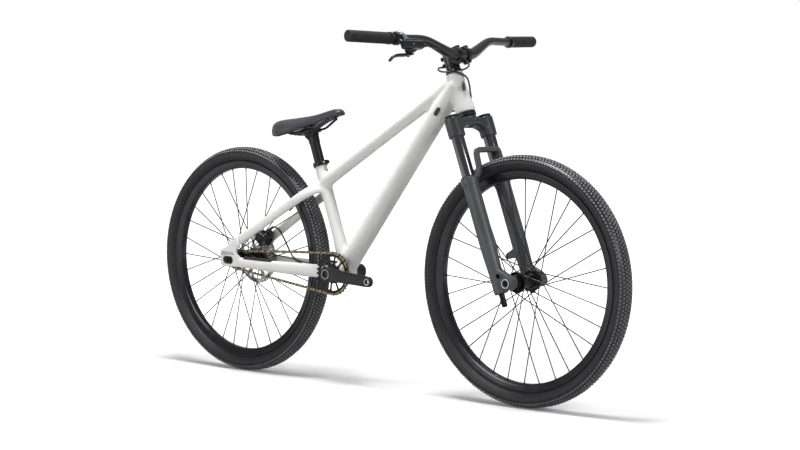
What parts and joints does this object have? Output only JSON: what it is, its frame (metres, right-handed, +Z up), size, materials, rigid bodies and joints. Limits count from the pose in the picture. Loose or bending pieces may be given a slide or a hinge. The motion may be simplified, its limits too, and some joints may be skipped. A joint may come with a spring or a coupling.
{
  "type": "dirt jump bicycle",
  "caption": "Hardtail dirt jump bike with suspension fork, knobbly tyres, single-gear chain drive, low saddle, riser handlebar and a rear disc brake.",
  "frame": {"origin": "on the ground, midway between the two axles, in the bike's centre plane", "axes": "+X forward, +Y to the rider's left, +Z up"},
  "size_m": [1.76, 0.8022, 1.0159],
  "materials": {
    "paint": "satin warm white powder coat",
    "fork_paint": "matte charcoal",
    "stanchion_black": "glossy black anodising",
    "anodised": "satin black anodising",
    "crank_grey": "forged, dark graphite anodising",
    "steel": "bare brushed steel",
    "chain_gold": "gold coated plates over dark rollers",
    "tyre_rubber": "matte black with small square knobs",
    "grip_rubber": "matte black, ribbed",
    "hose_black": "smooth black hose",
    "plastic": "moulded black",
    "cushion_cover": "dark blue-grey stitched cover over foam"
  },
  "bodies": {
    "frame": {"head_tube": "paint", "bottom_bracket_shell": "paint", "down_tube": "paint", "seat_tube": "paint", "top_tube": "paint", "chainstay_left": "paint", "chainstay_right": "paint", "seatstay_left": "paint", "seatstay_right": "paint", "dropout_left": "paint", "dropout_right": "paint", "headset_bearing_upper": "steel", "headset_bearing_lower": "steel", "headset_cup_lower": "anodised", "rear_axle": "anodised", "bottom_bracket_cup_left": "anodised", "bottom_bracket_cup_right": "anodised", "chain": "chain_gold", "brake_caliper": "anodised", "rear_brake_hose": "hose_black", "front_brake_hose": "hose_black", "seat_clamp": "anodised"},
    "steering": {"headset_cover": "anodised", "headset_spacer": "anodised", "fork_crown_and_steerer": "fork_paint", "stanchion_left": "stanchion_black", "stanchion_right": "stanchion_black", "stem_body": "anodised", "stem_faceplate": "anodised", "stem_top_cap": "anodised", "handlebar": "anodised", "grip_left": "grip_rubber", "grip_right": "grip_rubber", "brake_lever_body": "anodised"},
    "lowers": {"fork_lowers": "fork_paint", "front_axle": "steel", "rebound_knob": "anodised", "foot_bolt": "steel"},
    "front_wheel": {"front_hub_and_spokes": "anodised", "front_rim": "anodised", "front_tyre": "tyre_rubber"},
    "rear_wheel": {"rear_hub_and_spokes": "anodised", "rear_rim": "anodised", "rear_tyre": "tyre_rubber", "brake_rotor": "steel"},
    "driver": {"cog_and_driver": "anodised"},
    "cranks": {"chainring": "anodised", "crank_arm_left": "crank_grey", "crank_arm_right": "crank_grey", "crank_spindle": "anodised"},
    "lever": {"brake_lever_blade": "anodised"},
    "pad_outer": {"brake_pad_outer": "steel"},
    "pad_inner": {"brake_pad_inner": "steel"},
    "seat": {"seatpost": "anodised", "rail_clamp": "anodised", "saddle_rail_left": "steel", "saddle_rail_right": "steel", "saddle_shell": "plastic", "saddle_cushion": "cushion_cover"}
  },
  "joints": [
    {"name": "steering", "type": "hinge", "parent": "frame", "child": "steering", "pos_m": [0.33116, 0, 0.7957], "axis": [-0.3469, 0, 0.9379], "range_deg": [-180, 180], "deforming": ["front_brake_hose"]},
    {"name": "fork_slide", "type": "slide", "parent": "steering", "child": "lowers", "axis": [-0.3469, 0, 0.9379], "range_m": [0, 0.1], "stiffness_N_per_m": 8000, "springref_m": -0.01},
    {"name": "front_wheel_spin", "type": "hinge", "parent": "lowers", "child": "front_wheel", "pos_m": [0.537, 0, 0.343], "axis": [0, 1, 0], "continuous": true},
    {"name": "rear_wheel_spin", "type": "hinge", "parent": "frame", "child": "rear_wheel", "pos_m": [-0.537, 0, 0.343], "axis": [0, 1, 0], "continuous": true},
    {"name": "crank_spin", "type": "hinge", "parent": "frame", "child": "cranks", "pos_m": [-0.12927, 0, 0.325], "axis": [0, 1, 0], "continuous": true, "deforming": ["chain"]},
    {"name": "driver_spin", "type": "hinge", "parent": "frame", "child": "driver", "pos_m": [-0.537, 0, 0.343], "axis": [0, 1, 0], "continuous": true},
    {"name": "brake_lever", "type": "hinge", "parent": "steering", "child": "lever", "pos_m": [0.31156, -0.2132, 0.95402], "axis": [-0.9379, 0, -0.3469], "range_deg": [0, 15], "stiffness_Nm_per_rad": 0.8, "springref_deg": -8.59},
    {"name": "pad_outer_slide", "type": "slide", "parent": "frame", "child": "pad_outer", "axis": [0, -1, 0], "range_m": [0, 0.0004]},
    {"name": "pad_inner_slide", "type": "slide", "parent": "frame", "child": "pad_inner", "axis": [0, 1, 0], "range_m": [0, 0.0004]},
    {"name": "seatpost_slide", "type": "slide", "parent": "frame", "child": "seat", "axis": [-0.3355, 0, 0.9421], "range_m": [-0.05, 0.06]}
  ],
  "couplings": [
    {"joint": "driver_spin", "follows": "crank_spin", "ratio": 2.3077},
    {"joint": "pad_outer_slide", "follows": "brake_lever", "m_per_rad": 0.0015},
    {"joint": "pad_inner_slide", "follows": "brake_lever", "m_per_rad": 0.0015}
  ]
}
